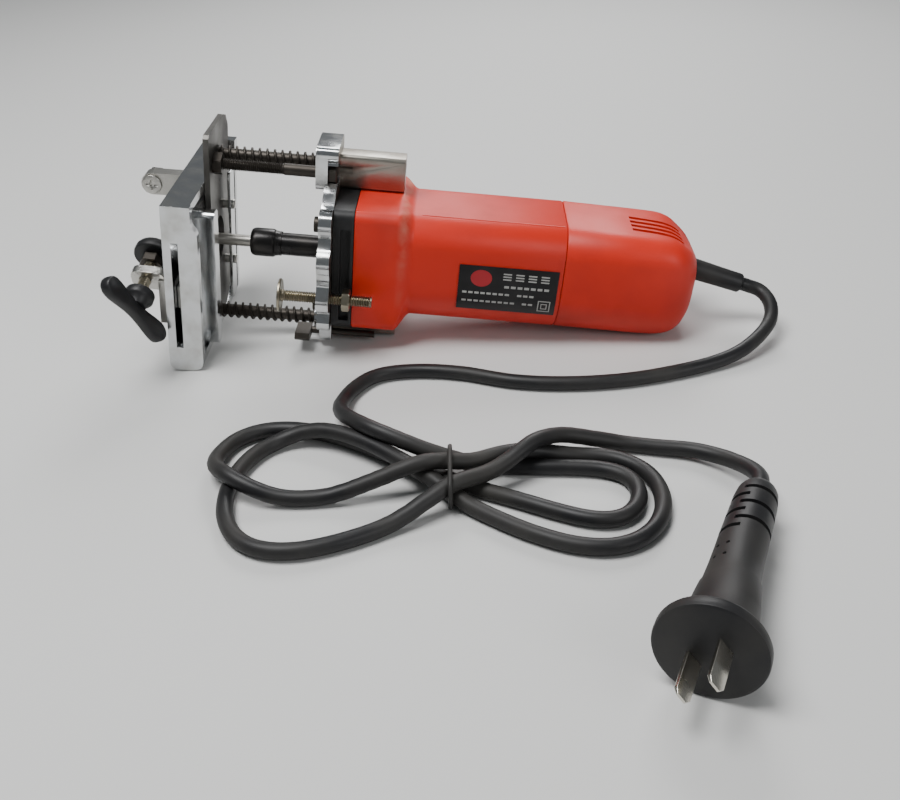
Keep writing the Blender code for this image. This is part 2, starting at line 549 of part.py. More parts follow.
PLUG_AT = Vector((84.8, -257.2, 19.6))   # middle of the plug's front face
PLUG_YAW = math.radians(23.8)
PLUG_PITCH = math.radians(3.0)
PLUG_ROLL = math.radians(43.0)
PLUG_LEN = 100.0
flat_side = Vector((math.cos(PLUG_YAW), -math.sin(PLUG_YAW), 0.0))
plug_back = Vector((math.sin(PLUG_YAW), math.cos(PLUG_YAW), 0.0)) * math.cos(PLUG_PITCH)
plug_back.z = -math.sin(PLUG_PITCH)
pin_side = flat_side * math.cos(PLUG_ROLL) + flat_side.cross(plug_back) * math.sin(PLUG_ROLL)
pin_up = plug_back.cross(pin_side)


def plug_point(s, x, y):
    return tuple(PLUG_AT + plug_back * s + pin_side * x + pin_up * y)


def plug_oval(s, rx, ry, n=28):
    return [plug_point(s, rx * u, ry * v) for u, v in circle(0, 0, 1, n)]


plug_shape = ((0.0, 18.6, 18.6), (0.6, 19.4, 19.4), (4.6, 19.4, 19.4), (5.2, 18.6, 18.6), (5.4, 15.0, 10.5),
              (20.0, 13.6, 9.6), (37.0, 11.0, 8.6), (52.0, 8.9, 8.0), (58.0, 8.7, 7.9), (84.0, 7.6, 7.4),
              (PLUG_LEN, 6.2, 6.2))     # distance back, half width, half height
rings("plug_body", [plug_oval(*section) for section in plug_shape], "rubber", parent=None)
for k, x in enumerate((-6.35, 6.35)):
    outline = [(x - 0.75, -3.4), (x + 0.75, -3.4), (x + 0.75, 3.4), (x - 0.75, 3.4)]
    tip = [(x - 0.5, -1.9), (x + 0.5, -1.9), (x + 0.5, 1.9), (x - 0.5, 1.9)]
    blade_shape = ((-0.05, outline), (-16.8, outline), (-18.6, tip))
    blade_loops = [[plug_point(s, u, v) for u, v in shape] for s, shape in blade_shape]
    rings("plug_blade_%d" % (k + 1), blade_loops, "nickel", parent=None)

plug_end = PLUG_AT + plug_back * (PLUG_LEN + 0.3)
tail = [plug_end, plug_end + plug_back * 4.0] + [Vector(p) for p in (
    (129, -153, 12), (127, -142, 9), (120, -131, 6), (109, -123, 4.5), (95, -119, CORD_Z),
    (79, -116, CORD_Z), (64, -117, CORD_Z), (51, -120, CORD_Z))]
tube("cord_tail", tail[:1] + smooth(tail[1:], 9.0), CORD_R, "rubber")

tie_mid = (2.0, -143.0)
tie_loops = []
for x in (-1.4, 1.4):
    strap = rounded(-12.0, 12.0, 11.0, 13.0, 0.9, 3)
    tie_loops.append([(tie_mid[0] + x, tie_mid[1] + u, v) for u, v in strap])
rings("cord_tie", tie_loops, "rubber", parent=None)
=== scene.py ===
# Looks of a hand-held plunge slot router lying on its side with its mains cord.
# Tool coordinates, in millimetres: a runs along the spindle from the bit to the cord, b sideways, c upwards.
import json
import math

import bmesh
import bpy
from mathutils import Matrix, Vector
from mathutils.geometry import convex_hull_2d


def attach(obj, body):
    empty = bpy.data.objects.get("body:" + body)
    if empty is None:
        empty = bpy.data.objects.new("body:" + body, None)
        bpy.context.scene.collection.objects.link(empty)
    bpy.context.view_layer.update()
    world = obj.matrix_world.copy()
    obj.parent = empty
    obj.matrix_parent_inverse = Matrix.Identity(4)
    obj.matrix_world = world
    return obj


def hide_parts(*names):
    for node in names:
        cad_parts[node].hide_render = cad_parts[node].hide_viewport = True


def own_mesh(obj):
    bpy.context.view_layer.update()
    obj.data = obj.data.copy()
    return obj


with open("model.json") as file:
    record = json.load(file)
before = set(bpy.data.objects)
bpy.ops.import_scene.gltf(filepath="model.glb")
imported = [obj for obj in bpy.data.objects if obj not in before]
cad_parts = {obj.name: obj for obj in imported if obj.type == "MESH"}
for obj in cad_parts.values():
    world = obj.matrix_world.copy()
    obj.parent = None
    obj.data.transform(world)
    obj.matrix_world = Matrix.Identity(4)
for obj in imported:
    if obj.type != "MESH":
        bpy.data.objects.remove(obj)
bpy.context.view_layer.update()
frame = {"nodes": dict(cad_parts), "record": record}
MM = 0.001

JOINTS = {joint["name"]: joint for joint in frame["record"]["behaviour"]["joints"]}
SLOTS = {part["node"]: part["material_slot"] for part in frame["record"]["subparts"]}
BODIES = {node: body for body, nodes in frame["record"]["behaviour"]["bodies"].items() for node in nodes}


def pose_of(origin, x_axis, z_axis):
    """Matrix of a frame from its origin and two of its axes, in metres."""
    x, z = Vector(x_axis).normalized(), Vector(z_axis).normalized()
    pose = Matrix((x, z.cross(x), z)).transposed().to_4x4()
    pose.translation = Vector(origin)
    return pose


TOOL = pose_of(JOINTS["spindle_turn"]["pos_m"], JOINTS["spindle_turn"]["axis"], JOINTS["clamp_slide"]["axis"])
ROW = Matrix.Identity(4)

# ---------------------------------------------------------------- camera

CAMERA_AT = Vector((4.8, -493.8, 267.7))      # mm
CAMERA_DOWN = math.radians(32.3)
CAMERA_YAW = math.radians(0.35)
CAMERA_ROLL = math.radians(-1.39)
LENS = 41.3


def make_camera():
    data = bpy.data.cameras.new("camera")
    data.lens = LENS
    data.clip_start = 0.01
    ob = bpy.data.objects.new("camera", data)
    bpy.context.collection.objects.link(ob)
    level = Vector((-math.sin(CAMERA_YAW), math.cos(CAMERA_YAW), 0.0))
    ahead = level * math.cos(CAMERA_DOWN) - Vector((0.0, 0.0, math.sin(CAMERA_DOWN)))
    right = ahead.cross(Vector((0, 0, 1))).normalized()
    up = right.cross(ahead)
    x = right * math.cos(CAMERA_ROLL) + up * math.sin(CAMERA_ROLL)
    y = up * math.cos(CAMERA_ROLL) - right * math.sin(CAMERA_ROLL)
    ob.matrix_world = Matrix.Translation(CAMERA_AT * MM) @ Matrix((x, y, -ahead)).transposed().to_4x4()
    bpy.context.scene.camera = ob


make_camera()

# ---------------------------------------------------------------- materials


def shader(name, colour, metallic, roughness):
    """A material with its Principled node."""
    mat = bpy.data.materials.new(name)
    mat.use_nodes = True
    tree = mat.node_tree
    main = tree.nodes["Principled BSDF"]
    main.inputs["Base Color"].default_value = colour + (1.0,)
    main.inputs["Metallic"].default_value = metallic
    main.inputs["Roughness"].default_value = roughness
    mat.diffuse_color = colour + (1.0,)
    return mat, tree, main


def noise_map(tree, scale, detail):
    """Noise output, scale in cells per metre."""
    where = tree.nodes.new("ShaderNodeTexCoord")
    cells = tree.nodes.new("ShaderNodeTexNoise")
    cells.inputs["Scale"].default_value = scale
    cells.inputs["Detail"].default_value = detail
    tree.links.new(where.outputs["Object"], cells.inputs["Vector"])
    return cells.outputs["Fac"]


def ramp(tree, source, low, high, a, b):
    """Map the noise between low and high to values or colours a to b."""
    node = tree.nodes.new("ShaderNodeValToRGB")
    node.color_ramp.elements[0].position = low
    node.color_ramp.elements[1].position = high
    for stop, value in zip(node.color_ramp.elements, (a, b)):
        stop.color = tuple(value) + (1.0,) if isinstance(value, tuple) else (value, value, value, 1.0)
    tree.links.new(source, node.inputs["Fac"])
    return node.outputs["Color"]


def bump(tree, main, source, depth):
    node = tree.nodes.new("ShaderNodeBump")
    node.inputs["Strength"].default_value = 0.6
    node.inputs["Distance"].default_value = depth * MM
    tree.links.new(source, node.inputs["Height"])
    tree.links.new(node.outputs["Normal"], main.inputs["Normal"])


def worn(name, clean, dirty, metallic, rough, grain, grain_depth, patches=25.0, shine=0.5):
    """Colour and roughness that drift between clean and dirty, with a fine grain."""
    mat, tree, main = shader(name, clean, metallic, rough[0])
    main.inputs["Specular IOR Level"].default_value = shine
    drift = noise_map(tree, patches, 6.0)
    tree.links.new(ramp(tree, drift, 0.42, 0.72, clean, dirty), main.inputs["Base Color"])
    tree.links.new(ramp(tree, drift, 0.35, 0.7, rough[0], rough[1]), main.inputs["Roughness"])
    bump(tree, main, noise_map(tree, grain, 3.0), grain_depth)
    return mat


def red_nylon():
    """Satin red moulding, rubbed pale where its wear attribute says."""
    mat = worn("red_nylon", (0.62, 0.022, 0.008), (0.46, 0.018, 0.008), 0.0, (0.42, 0.58), 1600, 0.06,
               shine=0.35)
    tree = mat.node_tree
    main = tree.nodes["Principled BSDF"]
    wear = tree.nodes.new("ShaderNodeAttribute")
    wear.attribute_name = "wear"
    patchy = ramp(tree, noise_map(tree, 110, 8.0), 0.34, 0.74, 0.0, 1.0)
    share = tree.nodes.new("ShaderNodeMath")
    share.operation = 'MULTIPLY'
    tree.links.new(wear.outputs["Fac"], share.inputs[0])
    tree.links.new(patchy, share.inputs[1])
    blend = tree.nodes.new("ShaderNodeMix")
    blend.data_type = 'RGBA'
    tree.links.new(share.outputs["Value"], blend.inputs["Factor"])
    tree.links.new(main.inputs["Base Color"].links[0].from_socket, blend.inputs["A"])
    blend.inputs["B"].default_value = (0.62, 0.24, 0.17, 1.0)
    tree.links.new(blend.outputs["Result"], main.inputs["Base Color"])
    return mat


MATERIALS = {
    "motor_red": red_nylon(),
    "plastic_black": worn("black_plastic", (0.012, 0.012, 0.013), (0.03, 0.029, 0.028), 0.0, (0.4, 0.6),
                          1200, 0.06, shine=0.35),
    "label": worn("label_foil", (0.010, 0.010, 0.011), (0.03, 0.03, 0.03), 0.0, (0.30, 0.42), 900,
                  0.01, shine=0.25),
    "chrome": worn("chrome_plate", (0.64, 0.65, 0.66), (0.50, 0.50, 0.48), 1.0, (0.12, 0.24), 300,
                   0.07, 120.0),
    "dark_steel": worn("oily_steel", (0.060, 0.053, 0.046), (0.026, 0.021, 0.017), 0.8, (0.36, 0.55),
                       900, 0.08),
    "steel": worn("zinc_steel", (0.50, 0.49, 0.46), (0.26, 0.24, 0.21), 1.0, (0.30, 0.5), 800, 0.06),
    "brass": worn("brass", (0.60, 0.42, 0.18), (0.35, 0.25, 0.12), 1.0, (0.25, 0.45), 800, 0.04),
    "nickel": worn("nickel", (0.66, 0.63, 0.56), (0.45, 0.42, 0.36), 1.0, (0.22, 0.38), 700, 0.04),
    "copper": worn("copper", (0.62, 0.28, 0.15), (0.32, 0.16, 0.09), 1.0, (0.28, 0.45), 800, 0.04),
    "carbon": worn("carbon", (0.03, 0.03, 0.03), (0.05, 0.05, 0.05), 0.1, (0.5, 0.7), 900, 0.05),
    "rubber": worn("black_rubber", (0.012, 0.012, 0.013), (0.035, 0.033, 0.030), 0.0, (0.40, 0.62),
                   1500, 0.05, shine=0.32),
}
ZINC = worn("yellow_zinc", (0.34, 0.31, 0.24), (0.15, 0.13, 0.09), 1.0, (0.26, 0.42), 700, 0.05)
SAND_CAST = worn("sand_cast_plate", (0.50, 0.49, 0.46), (0.22, 0.21, 0.19), 1.0, (0.26, 0.5), 700, 0.30)
PLATE_STEEL = worn("plate_steel", (0.15, 0.145, 0.135), (0.07, 0.065, 0.06), 1.0, (0.38, 0.55), 600,
                   0.10, 40.0)
SLEEVE_CAST = worn("sleeve_casting", (0.36, 0.34, 0.30), (0.17, 0.145, 0.12), 1.0, (0.30, 0.5), 500,
                   0.12, 60.0)
BLACK_OXIDE = worn("black_oxide", (0.022, 0.021, 0.021), (0.05, 0.045, 0.04), 0.7, (0.24, 0.42), 800, 0.05)
INK = worn("pale_ink", (0.42, 0.42, 0.40), (0.26, 0.26, 0.25), 0.0, (0.45, 0.5), 900, 0.005)
RED_INK = worn("red_ink", (0.42, 0.012, 0.02), (0.30, 0.01, 0.015), 0.0, (0.4, 0.45), 900, 0.005)

# ---------------------------------------------------------------- shapes


def circle(u, v, r, n):
    turns = [2 * math.pi * k / n for k in range(n)]
    return [(u + r * math.cos(t), v + r * math.sin(t)) for t in turns]


def rounded(u0, u1, v0, v1, r, n):
    """Rectangle with round corners of n steps each."""
    points = []
    middles = ((u1 - r, v1 - r), (u0 + r, v1 - r), (u0 + r, v0 + r), (u1 - r, v0 + r))
    for (u, v), start in zip(middles, (0, 90, 180, 270)):
        for k in range(n + 1):
            t = math.radians(start + 90.0 * k / n)
            points.append((u + r * math.cos(t), v + r * math.sin(t)))
    return points


def skin(loops, closed=False):
    """Vertices and faces of a row of loops, capped unless its last loop joins its first."""
    n = len(loops[0])
    verts = [point for loop in loops for point in loop]
    faces = []
    for i in range(len(loops) if closed else len(loops) - 1):
        j = (i + 1) % len(loops)
        for k in range(n):
            m = (k + 1) % n
            faces.append((i * n + k, i * n + m, j * n + m, j * n + k))
    if not closed:
        faces.append(tuple(range(n)))
        faces.append(tuple((len(loops) - 1) * n + k for k in range(n)))
    return verts, faces


SHARP = 35.0                                  # degrees at which an edge of a piece is left sharp
SHARP_CARVED = 40.0
BEVEL_SEGMENTS = 3
SAME_PLACE = 1e-6                             # metres within which a CAD node's vertices are one
FLAT = 1.0                                    # degrees within which its faces are one


def solid(name, shape, space):
    """A mesh object from (vertices, faces) in mm."""
    verts, faces = shape
    mesh = bpy.data.meshes.new(name)
    mesh.from_pydata([space @ (Vector(v) * MM) for v in verts], [], faces)
    bm = bmesh.new()
    bm.from_mesh(mesh)
    bmesh.ops.recalc_face_normals(bm, faces=bm.faces)
    bm.to_mesh(mesh)
    bm.free()
    ob = bpy.data.objects.new(name, mesh)
    bpy.context.collection.objects.link(ob)
    return ob


def piece(name, shape, material, body, nodes=(), space=TOOL, angle=SHARP):
    """A mesh piece from (vertices, faces) in mm, riding on a body and standing for CAD nodes."""
    ob = solid(name, shape, space)
    finish_piece(ob, material, body, nodes, 0.0, angle)
    return ob


def finish_piece(ob, material, body, nodes, bevel, angle):
    """Material, soft edges, body and the CAD nodes that it stands for."""
    mesh = ob.data
    mesh.materials.clear()
    mesh.materials.append(MATERIALS[material] if isinstance(material, str) else material)
    mesh.polygons.foreach_set("use_smooth", [True] * len(mesh.polygons))
    mesh.set_sharp_from_angle(angle=math.radians(angle))
    if bevel:
        edge = ob.modifiers.new("edge", 'BEVEL')
        edge.width = bevel * MM
        edge.segments = BEVEL_SEGMENTS
        edge.limit_method = 'ANGLE'
        edge.angle_limit = math.radians(angle)
    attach(ob, body)
    if nodes:
        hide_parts(*nodes)


def turned(profile, centre, n=48, closed=False):
    """Turned about a line along a, from (a, radius) pairs."""
    loops = [[(a, u, v) for u, v in circle(centre[0], centre[1], r, n)] for a, r in profile]
    return skin(loops, closed)


def refined(node, material, bevel):
    """A copy of a CAD node with soft edges, which stands for it. It may have a material of its own."""
    source = frame["nodes"][node]
    ob = bpy.data.objects.new("fine_" + node, source.data.copy())
    bpy.context.collection.objects.link(ob)
    bm = bmesh.new()
    bm.from_mesh(ob.data)
    bmesh.ops.remove_doubles(bm, verts=bm.verts, dist=SAME_PLACE)
    bmesh.ops.dissolve_limit(bm, angle_limit=math.radians(FLAT), verts=bm.verts, edges=bm.edges)
    bm.to_mesh(ob.data)
    bm.free()
    finish_piece(ob, material or SLOTS[node], BODIES[node], (node,), bevel, SHARP)
    return ob


def carve(ob, shape, space=TOOL):
    """Cut a shape, in mm, out of a piece."""
    cutter = solid("cutter", shape, space)
    cut = ob.modifiers.new("cut", 'BOOLEAN')
    cut.operation = 'DIFFERENCE'
    cut.solver = 'EXACT'
    cut.object = cutter
    bpy.context.view_layer.update()
    result = bpy.data.meshes.new_from_object(ob.evaluated_get(bpy.context.evaluated_depsgraph_get()))
    ob.modifiers.remove(cut)
    ob.data = result
    bpy.data.objects.remove(cutter, do_unlink=True)
    ob.data.set_sharp_from_angle(angle=math.radians(SHARP_CARVED))


# ---------------------------------------------------------------- cord

CORD_R = 3.6
CORD_Z = 3.65                                 # height of its centre line on the ground
GUARD_START = Vector((194.0, 0.0, 7.5))       # tool coordinates
GUARD_DIR = Vector((29.0, 0.0, -6.8)).normalized()
GUARD_LEN = 35.7
PLUG_AT = Vector((84.8, -257.2, 19.6))        # middle of the plug's front face, row frame, mm
PLUG_YAW = math.radians(23.8)
PLUG_PITCH = math.radians(3.0)
PLUG_ROLL = math.radians(43.0)
PLUG_LEN = 100.0
PLUG_GAP = 0.3                                # between the moulding and the cord's end

# Row frame, mm. The loose stretches, from the guard to the hank and from the hank to the plug.
LEAD = ((169, 2, 19), (172, -7, 16), (170, -17, 12), (163, -27, 9), (152, -37, 6), (138, -45, 4),
        (115, -54, CORD_Z), (88, -61, CORD_Z), (60, -63, CORD_Z), (34, -60, CORD_Z), (8, -51, CORD_Z),
        (-15, -48, CORD_Z), (-34, -52, CORD_Z), (-45, -65, CORD_Z), (-49, -80, CORD_Z), (-48, -94, CORD_Z))
INTO_TIE = ((-42, -107), (-32, -118), (-17, -125))
OUT_OF_TIE = ((28, -138), (40, -128))
TAIL = ((51, -120, CORD_Z), (64, -117, CORD_Z), (79, -116, CORD_Z), (95, -119, CORD_Z), (109, -123, 4.5),
        (120, -131, 6), (127, -142, 9), (129, -153, 12))
# Where each strand passes the tie, and the layer that it lies in there.
PASSES = (((2, -129), 1), ((-1, -140), 0), ((2, -139), 1), ((-1, -149), 0), ((4, -153), 1))
# Reach, direction in degrees, half width and how square the far end is, of the loop after each pass.
LOOPS = ((82, -15, 14, 0.2), (103, 168, 26, 0.0), (90, -10, 28, 0.0), (94, 175, 38, 0.0))
TIE_X = 2.0
TIE_WIRE = 1.0
HANK_Y = -100                                 # the hank at the tie lies beyond this y
STRAND_GAP = 0.1                              # left between two strands, one over the other
SAME_STRAND = 30                              # mm along the cord within which it doesn't cross itself
HUMP_SLOPE = 0.3
STILL_POINTS = 12                             # at each end, that no hump moves
END_RUN = 4.0                                 # straight run at the guard and at the plug


def cord_ends():
    """Exit point and direction at the guard, plug end and its direction back along the cord."""
    exit_point = (TOOL @ ((GUARD_START + GUARD_DIR * GUARD_LEN) * MM)) / MM
    exit_dir = (TOOL.to_3x3() @ GUARD_DIR).normalized()
    back = Vector((math.sin(PLUG_YAW), math.cos(PLUG_YAW), 0.0)) * math.cos(PLUG_PITCH)
    back.z = -math.sin(PLUG_PITCH)
    return exit_point, exit_dir, PLUG_AT + back * (PLUG_LEN + PLUG_GAP), back


def hank_loop(start, end, reach, heading, half_width, square, steps=14):
    """One loop from a pass of the tie to the next, out on the far side and back on the near one."""
    turn = math.radians(heading)
    ahead = Vector((math.cos(turn), math.sin(turn)))
    aside = Vector((-math.sin(turn), math.cos(turn))) * math.copysign(1.0, math.cos(turn))
    points = []
    for k in range(1, steps):
        u = k / steps
        width = half_width * (math.sin(2 * math.pi * u) - square * math.sin(4 * math.pi * u))
        points.append(start.lerp(end, u) + ahead * (reach * math.sin(math.pi * u)) + aside * width)
    return points


def cord_route():
    """The whole centre line, as points and the layer that each lies in."""
    exit_point, exit_dir, plug_end, back = cord_ends()
    route = [(exit_point, 1), (exit_point + exit_dir * END_RUN, 1)] + [(Vector(p), 1) for p in LEAD]
    route += [(Vector(p + (CORD_Z,)), 1) for p in INTO_TIE]
    for k, (place, layer) in enumerate(PASSES):
        route.append((Vector(place + (CORD_Z,)), layer))
        if k < len(LOOPS):
            there, next_layer = PASSES[k + 1]
            points = hank_loop(Vector(place), Vector(there), *LOOPS[k])
            for i, p in enumerate(points):
                lies_in = layer if 2 * i < len(points) else next_layer
                route.append((p.to_3d() + Vector((0, 0, CORD_Z)), lies_in))
    route += [(Vector(p + (CORD_Z,)), 1) for p in OUT_OF_TIE] + [(Vector(p), 1) for p in TAIL]
    return route + [(plug_end + back * END_RUN, 1), (plug_end, 1)]


def resample(route, step):
    """Catmull-Rom through the route's points, at an even step."""
    fine = []
    for i in range(len(route) - 1):
        p0, p1 = route[max(i - 1, 0)][0], route[i][0]
        p2, p3 = route[i + 1][0], route[min(i + 2, len(route) - 1)][0]
        for k in range(24):
            t = k / 24
            point = 0.5 * ((2 * p1) + (p2 - p0) * t + (2 * p0 - 5 * p1 + 4 * p2 - p3) * t * t
                           + (3 * p1 - p0 - 3 * p2 + p3) * t * t * t)
            fine.append((point, route[i][1]))
    fine.append(route[-1])
    out, gone = [fine[0]], 0.0
    for before, after in zip(fine, fine[1:]):
        gone += (after[0] - before[0]).length
        if gone >= step:
            out.append(after)
            gone -= step
    out[-1] = fine[-1]
    return out


def stack(route, step):
    """Lift each strand over those it lies on, in long low humps."""
    across = 2 * CORD_R + STRAND_GAP
    apart = int(SAME_STRAND / step)
    slope = HUMP_SLOPE * step
    points = [p.copy() for p, layer in route]
    rank = [(layer, i) for i, (p, layer) in enumerate(route)]
    ends = (STILL_POINTS, len(points) - STILL_POINTS)
    pairs = []
    for i in range(*ends):
        for j in range(*ends):
            gap = (points[i].xy - points[j].xy).length
            if rank[i] > rank[j] and abs(i - j) > apart and gap < across:
                pairs.append((i, j, math.sqrt(across ** 2 - gap ** 2)))
    for i in range(*ends):
        if abs(points[i].x - TIE_X) < 4 and points[i].y < HANK_Y:
            points[i].z = CORD_Z + 2 * TIE_WIRE
    for turn in range(60):
        for i, j, rise in pairs:
            points[i].z = max(points[i].z, points[j].z + rise)
        for i in range(ends[0] + 1, ends[1]):
            points[i].z = max(points[i].z, points[i - 1].z - slope)
        for i in range(ends[1] - 2, ends[0], -1):
            points[i].z = max(points[i].z, points[i + 1].z - slope)
    return points


def round_humps(points, turns=8):
    """Round off the humps' corners without moving the cord sideways."""
    for turn in range(turns):
        heights = [p.z for p in points]
        for i in range(STILL_POINTS + 2, len(points) - STILL_POINTS - 2):
            points[i].z = (heights[i - 1] + 2 * heights[i] + heights[i + 1]) / 4
    return points


def make_cord(points):
    curve = bpy.data.curves.new("mains_cord", 'CURVE')
    curve.dimensions = '3D'
    curve.bevel_depth = CORD_R * MM
    curve.bevel_resolution = 5
    curve.use_fill_caps = True
    line = curve.splines.new('POLY')
    line.points.add(len(points) - 1)
    for point, p in zip(line.points, points):
        point.co = (p.x * MM, p.y * MM, p.z * MM, 1.0)
    line.use_smooth = True
    curve.materials.append(MATERIALS["rubber"])
    ob = bpy.data.objects.new("mains_cord", curve)
    bpy.context.collection.objects.link(ob)
    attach(ob, "motor")
    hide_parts("cord_lead", "cord_hank", "cord_tail")
    return ob


def ring_tube(line, r, n=12):
    """Mesh tube along a closed line."""
    loops = []
    for i, p in enumerate(line):
        ahead = (line[(i + 1) % len(line)] - line[i - 1]).normalized()
        nearly_x = abs(ahead.x) > 0.9
        side = (ahead.orthogonal() if nearly_x else ahead.cross(Vector((1, 0, 0)))).normalized()
        other = ahead.cross(side)
        loops.append([tuple(p + side * u + other * v) for u, v in circle(0, 0, r, n)])
    return skin(loops, True)


def make_tie(points):
    """Thin wire tie drawn tight round the strands where they pass."""
    near = [p for p in points if abs(p.x - TIE_X) < 3 and p.y < HANK_Y]
    reach = CORD_R + TIE_WIRE
    rim = [(u, v) for p in near for u, v in circle(p.y, p.z, reach, 24)]
    line = [Vector((TIE_X, rim[i][0], max(rim[i][1], TIE_WIRE))) for i in convex_hull_2d(rim)]
    return piece("wire_tie", ring_tube(line, TIE_WIRE), "rubber", "motor", ("cord_tie",), ROW)


CORD_STEP = 2.5
cord_points = round_humps(stack(resample(cord_route(), CORD_STEP), CORD_STEP))
cord = make_cord(cord_points)
tie = make_tie(cord_points)

# ---------------------------------------------------------------- plug


def plug_frame():
    """The plug's own frame, mm: x across its two blades, y the other way, z back along the cord."""
    back = cord_ends()[3]
    flat = Vector((math.cos(PLUG_YAW), -math.sin(PLUG_YAW), 0.0))
    across = flat * math.cos(PLUG_ROLL) + flat.cross(back) * math.sin(PLUG_ROLL)
    pose = Matrix((across, back.cross(across), back)).transposed().to_4x4()
    pose.translation = PLUG_AT * MM
    return pose


PLUG = plug_frame()
# Distance back, half width and half height of the plug's moulding.
PLUG_SHAPE = ((0.0, 18.0, 18.0), (0.5, 19.1, 19.1), (1.2, 19.4, 19.4), (4.4, 19.4, 19.4), (5.2, 19.0, 19.0),
              (5.6, 18.2, 18.2), (5.9, 16.4, 11.8), (7.0, 15.6, 11.0), (20.0, 14.2, 10.2), (34.0, 12.2, 9.4),
              (36.0, 11.2, 9.0), (46.0, 10.2, 8.9), (56.0, 9.6, 9.0), (62.0, 9.5, 9.1), (90.0, 8.8, 8.6),
              (96.0, 8.2, 8.0), (98.6, 7.2, 7.1), (PLUG_LEN, 5.8, 5.8))
SLOT_FROM, SLOT_PITCH, SLOT_WIDE, SLOTS_ON_BOOT = 61.0, 5.6, 2.3, 6
SLOT_REACH, SLOT_CORE = 14.0, 6.6             # outer and inner radius of the cutter
SLOT_SWEEP = 200.0                            # degrees of the ring that the cutter covers
DIMPLES_BACK, DIMPLE_SIDE, DIMPLE_R = (44.0, 51.0), 2.2, 0.8
BLADE_APART = 12.7
BLADE_X, BLADE_Y = 0.75, 3.4                  # half thickness and half width of a blade
BLADE_ENDS = (-0.05, -16.8, -18.6)            # root, start of its chamfer and tip


def half_ring(s0, s1, start):
    """A little over half of a flat ring about the boot, from the angle start."""
    turns = [start + math.radians(SLOT_SWEEP) * k / 20 for k in range(21)]
    outline = [(SLOT_REACH * math.cos(t), SLOT_REACH * math.sin(t)) for t in turns]
    outline += [(SLOT_CORE * math.cos(t), SLOT_CORE * math.sin(t)) for t in reversed(turns)]
    return skin([[(u, v, s) for u, v in outline] for s in (s0, s1)])


def make_plug():
    """Flanged moulding whose boot is slotted from alternate sides, with two pairs of small dimples."""
    outline = circle(0, 0, 1, 64)
    loops = [[(half_x * u, half_y * v, s) for u, v in outline] for s, half_x, half_y in PLUG_SHAPE]
    moulding = piece("plug_moulding", skin(loops), "rubber", "motor", ("plug_body",), PLUG, angle=40)
    for k in range(SLOTS_ON_BOOT):
        start = SLOT_FROM + SLOT_PITCH * k
        carve(moulding, half_ring(start, start + SLOT_WIDE, math.radians(-80 if k % 2 else 100)), PLUG)
    for s in DIMPLES_BACK:
        for x in (-DIMPLE_SIDE, DIMPLE_SIDE):
            dimple = [[(u, v, z) for u, v in circle(x, s, DIMPLE_R, 14)] for z in (-12.0, -7.6)]
            carve(moulding, skin([[(u, z, v) for u, v, z in loop] for loop in dimple]), PLUG)
    return moulding


def make_blade(k, x):
    """Flat plug blade with a chamfered end."""
    loops = []
    for s, w, h in zip(BLADE_ENDS, (1, 1, 0.6), (1, 1, 0.62)):
        outline = rounded(x - BLADE_X * w, x + BLADE_X * w, -BLADE_Y * h, BLADE_Y * h, 0.25, 3)
        loops.append([(u, v, s) for u, v in outline])
    shape = skin(loops)
    return piece("plug_pin_%d" % k, shape, "nickel", "motor", ("plug_blade_%d" % k,), PLUG)


plug = make_plug()
pins = [make_blade(1, -BLADE_APART / 2), make_blade(2, BLADE_APART / 2)]

# ---------------------------------------------------------------- cord guard


def make_guard():
    """Tapered rubber sleeve cut square at its end."""
    side = Vector((0, 1, 0))
    other = GUARD_DIR.cross(side)
    profile = [(0.0, 5.6), (4.0, 5.6), (14.0, 5.4), (24.0, 5.2), (33.8, 5.1), (34.9, 5.0), (35.4, 4.5)]
    loops = []
    for s, r in profile:
        middle = GUARD_START + GUARD_DIR * s
        loops.append([tuple(middle + side * u + other * v) for u, v in circle(0, 0, r, 40)])
    piece("guard_sleeve", skin(loops), "rubber", "motor", ("cord_guard",), angle=50)


make_guard()
exit_point = cord_ends()[0] * MM

# ---------------------------------------------------------------- motor housing and rear cover

A_FRONT, A_STEP, A_BARREL, A_SEAM = 24.3, 46.5, 53.0, 130.0
# Half width, lowest and highest c, and the radius of the low and the top corners.
FRONT_SECTION = (31.0, -31.5, 33.0, 5.0, 5.0)
BARREL_SECTION = (29.5, -29.0, 30.0, 24.0, 14.0)
FRONT_EDGE = (30.7, -31.2, 32.7, 5.0, 5.0)
SEAM_EDGE = (29.1, -28.6, 29.6, 23.8, 13.8)
FRONT_INSIDE = (28.0, -28.5, 30.0, 4.0, 4.0)
BARREL_INSIDE = (26.4, -25.9, 26.9, 21.5, 11.5)


def section(a, half, low, high, r, r_top, n=14):
    """Housing section across the spindle."""
    points = []
    for u, v, radius, start in ((half, high, r_top, 0), (-half, high, r_top, 90), (-half, low, r, 180),
                                (half, low, r, 270)):
        mid_u, mid_v = u - math.copysign(radius, u), v - math.copysign(radius, v)
        for k in range(n + 1):
            t = math.radians(start + 90.0 * k / n)
            points.append((a, mid_u + radius * math.cos(t), mid_v + radius * math.sin(t)))
    return points


def mix(first, second, share):
    return tuple(p + (q - p) * share for p, q in zip(first, second))


